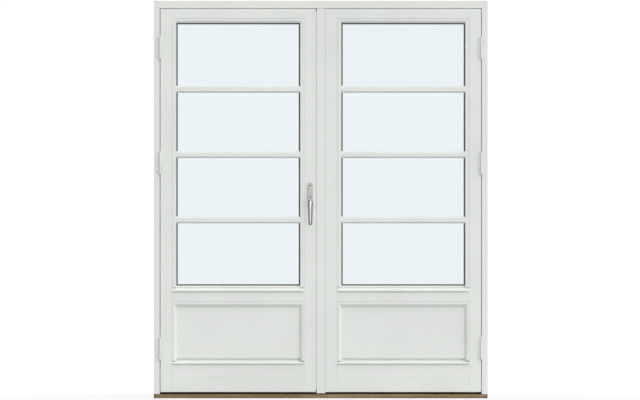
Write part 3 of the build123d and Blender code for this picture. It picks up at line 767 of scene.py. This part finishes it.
def screw_tree(screws):
    """A node group that sets a cross-slotted screw head on each point, and its inputs' identifiers."""
    tree = bpy.data.node_groups.new("Countersunk screws", "GeometryNodeTree")
    tree.interface.new_socket(name="Geometry", in_out="OUTPUT", socket_type="NodeSocketGeometry")
    keys = {
        "Points": named_input(tree, "Points", "Geometry"),
        "Sides": named_input(tree, "Sides", "Int", screws.sides),
        "Height": named_input(tree, "Height", "Float", screws.height_share),
        "Slot": named_input(tree, "Slot", "Float", screws.slot_share),
        "Finish": named_input(tree, "Finish", "Material"),
    }
    given = put(tree, "NodeGroupInput").outputs

    values = {"Vertices": given["Sides"], "Depth": given["Height"]}
    radii = {"Radius Top": screws.top_share, "Radius Bottom": 1.0}
    head = put(tree, "GeometryNodeMeshCone", {**values, **radii})
    cross = put(tree, "GeometryNodeMeshBoolean", {0: head.outputs["Mesh"]}, operation="DIFFERENCE")
    lift = put(tree, "ShaderNodeCombineXYZ", {"Z": given["Height"]}).outputs[0]
    for wide, deep in ((screws.slot_reach, given["Slot"]), (given["Slot"], screws.slot_reach)):
        size = put(tree, "ShaderNodeCombineXYZ", {"X": wide, "Y": deep, "Z": given["Height"]})
        bar = put(tree, "GeometryNodeMeshCube", {"Size": size.outputs[0]})
        cut = put(tree, "GeometryNodeTransform", {"Geometry": bar.outputs[0], "Translation": lift})
        tree.links.new(cut.outputs[0], cross.inputs[1])

    def attribute(name, kind):
        return put(tree, "GeometryNodeInputNamedAttribute", {"Name": name}, data_type=kind).outputs[0]

    facing = attribute("facing", "FLOAT_VECTOR")
    aligned = put(tree, "FunctionNodeAlignRotationToVector", {"Vector": facing}, axis="Z")
    values = {"Axis": UP, "Angle": attribute("turn", "FLOAT")}
    spin = put(tree, "FunctionNodeAxisAngleToRotation", values)
    values = {"Rotation": aligned.outputs[0], "Rotate By": spin.outputs[0]}
    turned = put(tree, "FunctionNodeRotateRotation", values, rotation_space="LOCAL")
    values = {
        "Points": given["Points"],
        "Instance": cross.outputs["Mesh"],
        "Rotation": turned.outputs[0],
        "Scale": attribute("head_radius", "FLOAT"),
    }
    heads = put(tree, "GeometryNodeInstanceOnPoints", values)
    solid = put(tree, "GeometryNodeRealizeInstances", {"Geometry": heads.outputs[0]})
    values = {"Geometry": solid.outputs[0], "Material": given["Finish"]}
    dressed = put(tree, "GeometryNodeSetMaterial", values)
    put(tree, "NodeGroupOutput", {"Geometry": dressed.outputs[0]})
    return tree, keys


def seat(name, point, facing):
    """Where a line from outside, against the facing, meets a CAD node at this point."""
    shape = merged(name)
    place = BVHTree.FromBMesh(shape).ray_cast(Vector(point) + facing, -facing)[0]
    shape.free()
    if place is None:
        raise RuntimeError(f"no seat for a screw on {name} at {tuple(point)}")
    return place, facing


def add_screws(tree, keys, name, seats, radius, material, slot, body):
    """One mesh of screw heads on these seats."""
    screws = bpy.context.scene.doors_screws
    mesh = bpy.data.meshes.new(name)
    mesh.from_pydata([place for place, _ in seats], [], [])
    attributes = (
        ("facing", "FLOAT_VECTOR", "vector", [value for _, way in seats for value in way]),
        ("turn", "FLOAT", "value", [index * SLOT_TURN for index in range(len(seats))]),
        ("head_radius", "FLOAT", "value", [radius] * len(seats)),
    )
    for title, kind, field, values in attributes:
        mesh.attributes.new(title, kind, "POINT").data.foreach_set(field, values)
    piece = bpy.data.objects.new(name, mesh)
    bpy.context.scene.collection.objects.link(piece)
    modifier = piece.modifiers.new("Screws", "NODES")
    modifier.node_group = tree
    modifier[keys["Sides"]] = screws.sides
    modifier[keys["Height"]] = screws.height_share
    modifier[keys["Slot"]] = screws.slot_share
    modifier[keys["Finish"]] = material
    made = piece.evaluated_get(bpy.context.evaluated_depsgraph_get())
    plain = bpy.data.meshes.new_from_object(made)
    piece.modifiers.remove(modifier)
    piece.data = plain
    settle(piece, material, body)


def hinge_seats(name, outward):
    """Two screws in each wing of a node of hinge halves, whose wings point out to the jambs or in."""
    screws = bpy.context.scene.doors_screws
    seats = []
    for low, high in solid_boxes(name):
        way = math.copysign(1, low.x if outward else -low.x)
        x = (high.x if way > 0 else low.x) - way * screws.hinge_inset
        middle = (low.z + high.z) / 2
        for z in (middle - screws.hinge_rise, middle + screws.hinge_rise):
            seats.append(seat(name, (x, low.y, z), FRONT))
    return seats


def plate_seats(name, facing, shares):
    """Screws up the middle of each plate of a node, at shares of its height."""
    seats = []
    for low, high in solid_boxes(name):
        middle = (low + high) / 2
        for share in shares:
            middle.z = low.z + (high.z - low.z) * share
            seats.append(seat(name, middle, facing))
    return seats


def keeper_seats(name, facing):
    """A screw at each end of a keeper."""
    low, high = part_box(name)
    inset = (high.y - low.y) * bpy.context.scene.doors_screws.keeper_share
    middle = (low + high) / 2
    return [seat(name, (x, middle.y, middle.z), facing) for x in (low.x + inset, high.x - inset)]


# Operators
class PieceOperator:
    """What the operators of this add-on share."""

    bl_options = {"REGISTER", "UNDO"}


class DOORS_OT_frame(PieceOperator, bpy.types.Operator):
    """Paint the jambs and the head of the frame"""

    bl_idname = "doors.frame"
    bl_label = "Painted frame"

    def execute(self, context):
        finish(white_paint("frame_paint_upright", GRAIN_ALONG_Z), "white_paint", "jamb_left", "jamb_right")
        finish(white_paint("frame_paint_level", GRAIN_ALONG_X), "white_paint", "head")
        return {"FINISHED"}


class DOORS_OT_sill(PieceOperator, bpy.types.Operator):
    """Oil the oak sill"""

    bl_idname = "doors.sill"
    bl_label = "Oak sill"

    def execute(self, context):
        finish(oiled_oak(), "oiled_oak", "sill")
        return {"FINISHED"}


class DOORS_OT_leaves(PieceOperator, bpy.types.Operator):
    """Paint the stiles, rails, panels, beads and bars of both leaves, and the false mullion"""

    bl_idname = "doors.leaves"
    bl_label = "Painted leaves"

    def execute(self, context):
        uprights = [*both_leaves("hinge_stile"), "left_lock_stile", "right_meeting_stile", "mullion"]
        levels = both_leaves("top_rail", "mid_rail", "bottom_rail", "front_bars", "back_bars")
        beads = both_leaves("glazing_beads", "panel_beads")
        finish(white_paint("stile_paint", GRAIN_ALONG_Z), "white_paint", *uprights)
        finish(white_paint("rail_paint", GRAIN_ALONG_X), "white_paint", *levels)
        finish(white_paint("bead_paint", SHORT_GRAIN), "white_paint", *beads)
        finish(white_paint("panel_paint", GRAIN_ALONG_Z), "white_paint", *both_leaves("panel"))
        return {"FINISHED"}


class DOORS_OT_fillets(PieceOperator, bpy.types.Operator):
    """Plant a slim painted fillet on the projecting bead under each pane"""

    bl_idname = "doors.fillets"
    bl_label = "Fillets"

    def execute(self, context):
        paint = white_paint("fillet_paint", GRAIN_ALONG_X)
        for leaf in LEAVES:
            add_fillet(leaf, context.scene.doors_fillets, paint)
        return {"FINISHED"}


class DOORS_OT_glazing(PieceOperator, bpy.types.Operator):
    """Finish the sealed units, their gaskets, blocks and bar tapes"""

    bl_idname = "doors.glazing"
    bl_label = "Glazing"

    def execute(self, context):
        glass = context.scene.doors_glass
        spacer = metal("spacer_metal", glass.spacer, GRAIN_ALONG_Z, roughness=0.4)
        finish(clear_glass(), "clear_glass", *both_leaves("outer_pane", "inner_pane"))
        finish(rubber("gasket_rubber", glass.gasket), "black_rubber", *both_leaves("gaskets"))
        finish(spacer, "spacer_metal", *both_leaves("spacer"))
        finish(rubber("setting_plastic", glass.block), "setting_plastic", *both_leaves("setting_blocks"))
        finish(rubber("bar_tape", glass.tape), "bar_tape", *both_leaves("bar_tapes"))
        return {"FINISHED"}


class DOORS_OT_seals(PieceOperator, bpy.types.Operator):
    """Finish the weather seals of the frame and the mullion"""

    bl_idname = "doors.seals"
    bl_label = "Weather seals"

    def execute(self, context):
        material = rubber("seal_rubber", context.scene.doors_glass.seal)
        smooth(material, "seal_rubber", "frame_seal")
        finish(material, "seal_rubber", "mullion_seal")
        return {"FINISHED"}


class DOORS_OT_hinges(PieceOperator, bpy.types.Operator):
    """Coat the hinges white and leave their pins bare"""

    bl_idname = "doors.hinges"
    bl_label = "Hinges"

    def execute(self, context):
        coat = powder_coat("hinge_coat")
        smooth(coat, "white_steel", "hinge_frame_halves", *both_leaves("hinge_halves"))
        pin = metal("pin_steel", context.scene.doors_metal.steel, GRAIN_ALONG_Z, roughness=0.3)
        smooth(pin, "plain_steel", "hinge_pins")
        return {"FINISHED"}


class DOORS_OT_handle(PieceOperator, bpy.types.Operator):
    """Finish both levers and their plates in satin metal"""

    bl_idname = "doors.handle"
    bl_label = "Handle"

    def execute(self, context):
        metals = context.scene.doors_metal
        # Painted highlight and shade: each lever's front flat takes a lighter colour and its bevels and sides
        # a darker one
        face, flank = metals.lever_painted_highlight, metals.lever_painted_shade
        lever = metal("lever_metal", face, BRUSHED_ALONG_Z, roughness=0.3, flank=flank)
        # Painted shade: each plate's rims and sides are a fifth darker than its front
        face, rim_shade = metals.handle_plate, shaded(metals.handle_plate, share=-0.2)
        plate = metal("plate_metal", face, BRUSHED_ALONG_Z, roughness=0.38, flank=rim_shade)
        smooth(lever, "satin_metal", "outside_lever", "inside_lever")
        smooth(plate, "satin_metal", "outside_backplate", "inside_backplate")
        # The stile behind the outside lever stays as evenly lit as the rest of the leaf
        bpy.data.objects["outside_lever_smooth"].visible_shadow = False
        return {"FINISHED"}


class DOORS_OT_lock(PieceOperator, bpy.types.Operator):
    """Finish the lock, its rods and bolts, the strike and the keepers"""

    bl_idname = "doors.lock"
    bl_label = "Lock and bolts"

    def execute(self, context):
        steel = metal("plated_steel", context.scene.doors_metal.steel, ROLLED_ALONG_Z, roughness=0.3)
        flat = ("lock_case", "deadbolt", "spindle", "strike_plate", "flush_bolt_plates", "lock_faceplate")
        finish(steel, "plain_steel", *flat, "head_keeper", "sill_keeper")
        smooth(steel, "plain_steel", "upper_rod", "lower_rod", "lock_follower")
        smooth(steel, "plain_steel", "top_flush_bolt", "bottom_flush_bolt")
        return {"FINISHED"}


class DOORS_OT_screws(PieceOperator, bpy.types.Operator):
    """Set the screws of the hinges, plates and keepers"""

    bl_idname = "doors.screws"
    bl_label = "Screws"

    def execute(self, context):
        screws, metals = context.scene.doors_screws, context.scene.doors_metal
        tree, keys = screw_tree(screws)
        hinge = (screws.hinge_radius, powder_coat("hinge_screw_coat"), "white_steel")
        dark = shaded(metals.lever_painted_shade, share=-0.4)
        satin = metal("handle_screw_satin", dark, TURNED, roughness=0.34)
        steel = metal("screw_steel", metals.steel, TURNED, roughness=0.32)
        handle = (screws.handle_radius, satin, "satin_metal")
        plate = (screws.plate_radius, steel, "plain_steel")

        for leaf in LEAVES:
            seats = hinge_seats(f"{leaf}_hinge_halves", outward=False)
            add_screws(tree, keys, f"{leaf}_hinge_screws", seats, *hinge, f"{leaf}_leaf")
        seats = hinge_seats("hinge_frame_halves", outward=True)
        add_screws(tree, keys, "frame_hinge_screws", seats, *hinge, "frame")

        seats = plate_seats("outside_backplate", FRONT, HANDLE_SHARES)
        seats += plate_seats("inside_backplate", BACK, HANDLE_SHARES)
        add_screws(tree, keys, "handle_screws", seats, *handle, "left_leaf")

        seats = plate_seats("lock_faceplate", RIGHT, FACEPLATE_SHARES)
        add_screws(tree, keys, "faceplate_screws", seats, *plate, "left_leaf")
        seats = plate_seats("strike_plate", LEFT, STRIKE_SHARES)
        seats += plate_seats("flush_bolt_plates", LEFT, FLUSH_PLATE_SHARES)
        add_screws(tree, keys, "strike_screws", seats, *plate, "right_leaf")
        seats = keeper_seats("head_keeper", DOWN) + keeper_seats("sill_keeper", UP)
        add_screws(tree, keys, "keeper_screws", seats, *plate, "frame")
        return {"FINISHED"}


class DOORS_OT_studio(PieceOperator, bpy.types.Operator):
    """Set up the camera, the light, the background and the floor"""

    bl_idname = "doors.studio"
    bl_label = "Studio"

    def execute(self, context):
        studio = context.scene.doors_studio
        self.set_camera(context.scene, studio)
        self.set_light(context.scene, studio)
        self.set_world(context.scene, studio)
        self.set_floor(context.scene, studio)
        context.scene.view_settings.view_transform = "Standard"
        return {"FINISHED"}

    def set_camera(self, scene, studio):
        """A long lens square to the doors."""
        lens = bpy.data.cameras.new("camera")
        lens.sensor_width = 36.0
        lens.lens = lens.sensor_width * studio.distance / studio.field
        lens.clip_end = 3 * studio.distance
        camera = bpy.data.objects.new("camera", lens)
        camera.location = Vector(studio.aim) + FRONT * studio.distance
        camera.rotation_euler = (math.radians(90), 0, 0)
        scene.collection.objects.link(camera)
        scene.camera = camera

    def set_light(self, scene, studio):
        """A broad soft light from the upper right, and a weaker one behind the doors for their back."""
        lights = (
            ("key_light", studio.key_strength, studio.key_direction),
            ("back_light", studio.back_strength, studio.back_direction),
        )
        for name, strength, direction in lights:
            lamp = bpy.data.lights.new(name, "SUN")
            lamp.energy = strength
            lamp.angle = studio.softness
            light = bpy.data.objects.new(name, lamp)
            light.rotation_euler = Vector(direction).to_track_quat("Z", "Y").to_euler()
            scene.collection.objects.link(light)

    def set_world(self, scene, studio):
        """A white background, and an even light of its own strength."""
        world = bpy.data.worlds.new("white_room")
        scene.world = world
        world.use_nodes = True
        tree = world.node_tree
        values = {"Value": seen_directly(tree), "To Min": studio.ambient, "To Max": 1.0}
        strength = put(tree, "ShaderNodeMapRange", values).outputs[0]
        background = next(n for n in tree.nodes if n.type == "BACKGROUND")
        background.inputs["Color"].default_value = (*WHITE, 1)
        tree.links.new(strength, background.inputs["Strength"])

    def set_floor(self, scene, studio):
        """A pale floor that fades into the background away from the doors."""
        material = bpy.data.materials.new("floor")
        material.use_nodes = True
        tree = material.node_tree
        tree.nodes.clear()
        place = {0: place_on_piece(tree, EVEN)}
        distance = put(tree, "ShaderNodeVectorMath", place, operation="LENGTH").outputs["Value"]
        values = {
            "Value": distance,
            "From Min": studio.floor_near,
            "From Max": studio.floor_clear,
            "To Min": studio.floor_white,
            "To Max": 1.0,
        }
        fade = put(tree, "ShaderNodeMapRange", values, interpolation_type="SMOOTHSTEP").outputs[0]
        values = {0: fade, 1: seen_directly(tree)}
        fade = put(tree, "ShaderNodeMath", values, operation="MULTIPLY").outputs[0]
        grey = (studio.floor_grey, studio.floor_grey, studio.floor_grey, 1)
        matt = put(tree, "ShaderNodeBsdfDiffuse", {"Color": grey})
        white = put(tree, "ShaderNodeEmission", {"Color": (*WHITE, 1), "Strength": 1.0})
        values = {0: fade, 1: matt.outputs[0], 2: white.outputs[0]}
        mixed = put(tree, "ShaderNodeMixShader", values)
        put(tree, "ShaderNodeOutputMaterial", {"Surface": mixed.outputs[0]})

        shape = bmesh.new()
        sides, radius = studio.floor_sides, studio.floor_radius
        bmesh.ops.create_circle(shape, cap_ends=True, segments=sides, radius=radius)
        mesh = bpy.data.meshes.new("floor")
        shape.to_mesh(mesh)
        shape.free()
        mesh.materials.append(material)
        floor = bpy.data.objects.new("floor", mesh)
        floor.location.z = -studio.floor_drop
        scene.collection.objects.link(floor)


OPERATORS = (
    DOORS_OT_frame,
    DOORS_OT_sill,
    DOORS_OT_leaves,
    DOORS_OT_fillets,
    DOORS_OT_glazing,
    DOORS_OT_seals,
    DOORS_OT_hinges,
    DOORS_OT_handle,
    DOORS_OT_lock,
    DOORS_OT_screws,
    DOORS_OT_studio,
)


class DOORS_PT_sidebar(bpy.types.Panel):
    """The steps that finish the doors"""

    bl_idname = "DOORS_PT_sidebar"
    bl_label = "French doors"
    bl_space_type = "VIEW_3D"
    bl_region_type = "UI"
    bl_category = "French doors"

    def draw(self, context):
        for operator in OPERATORS:
            self.layout.operator(operator.bl_idname)


CLASSES = (*SETTINGS.values(), *OPERATORS, DOORS_PT_sidebar)


def register():
    for each in CLASSES:
        bpy.utils.register_class(each)
    for name, group in SETTINGS.items():
        setattr(bpy.types.Scene, name, PointerProperty(type=group))


def unregister():
    for name in SETTINGS:
        delattr(bpy.types.Scene, name)
    for each in reversed(CLASSES):
        bpy.utils.unregister_class(each)


def main():
    """Finish every piece, then set up the studio."""
    register()
    bpy.ops.doors.frame()
    bpy.ops.doors.sill()
    bpy.ops.doors.leaves()
    bpy.ops.doors.fillets()
    bpy.ops.doors.glazing()
    bpy.ops.doors.seals()
    bpy.ops.doors.hinges()
    bpy.ops.doors.handle()
    bpy.ops.doors.lock()
    bpy.ops.doors.screws()
    bpy.ops.doors.studio()


if __name__ == "__main__":
    main()
